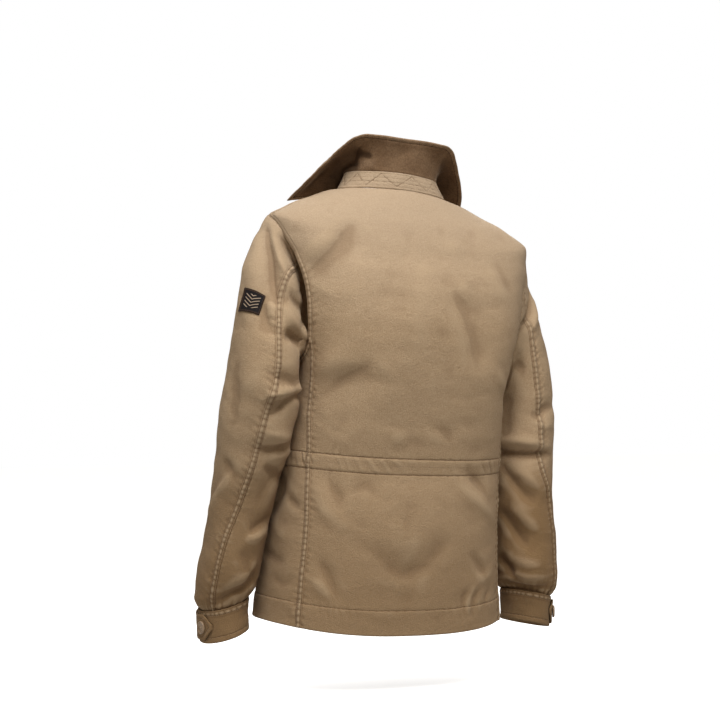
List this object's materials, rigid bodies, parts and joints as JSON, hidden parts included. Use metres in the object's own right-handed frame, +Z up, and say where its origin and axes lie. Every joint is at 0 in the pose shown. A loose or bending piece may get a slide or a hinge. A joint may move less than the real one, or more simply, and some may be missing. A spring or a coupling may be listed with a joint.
{
  "type": "field jacket",
  "caption": "Worn field jacket of canvas with a turned-up brushed collar, a stitched waist casing, long seamed sleeves and buttoned cuff tabs; hollow and open.",
  "frame": {"origin": "middle of the shoulder line, where the wearer's shoulders hold the jacket up, level with the neck ends of the shoulder seams", "axes": "+Z up, -Y towards the front of the jacket, +X towards the wearer's left"},
  "size_m": [0.5564, 0.2601, 0.7384],
  "materials": {
    "canvas": "matt cotton canvas, lightly worn at the seams",
    "brushed_cloth": "brushed moleskin with a soft sheen",
    "button_horn": "satin, horn look",
    "patch_twill": "woven satin"
  },
  "bodies": {
    "root": {"back": "canvas", "front_left": "canvas", "front_right": "canvas", "placket": "canvas", "sleeve_left_upper": "canvas", "sleeve_left_under": "canvas", "sleeve_right_upper": "canvas", "sleeve_right_under": "canvas", "cuff_left": "canvas", "cuff_right": "canvas", "cuff_tab_left": "canvas", "cuff_tab_right": "canvas", "collar_stand": "canvas", "collar_leaf": "brushed_cloth", "sleeve_patch": "patch_twill", "cuff_button_left": "button_horn", "cuff_button_right": "button_horn", "front_button_1": "button_horn", "front_button_2": "button_horn", "front_button_3": "button_horn", "front_button_4": "button_horn", "front_button_5": "button_horn"}
  },
  "joints": []
}
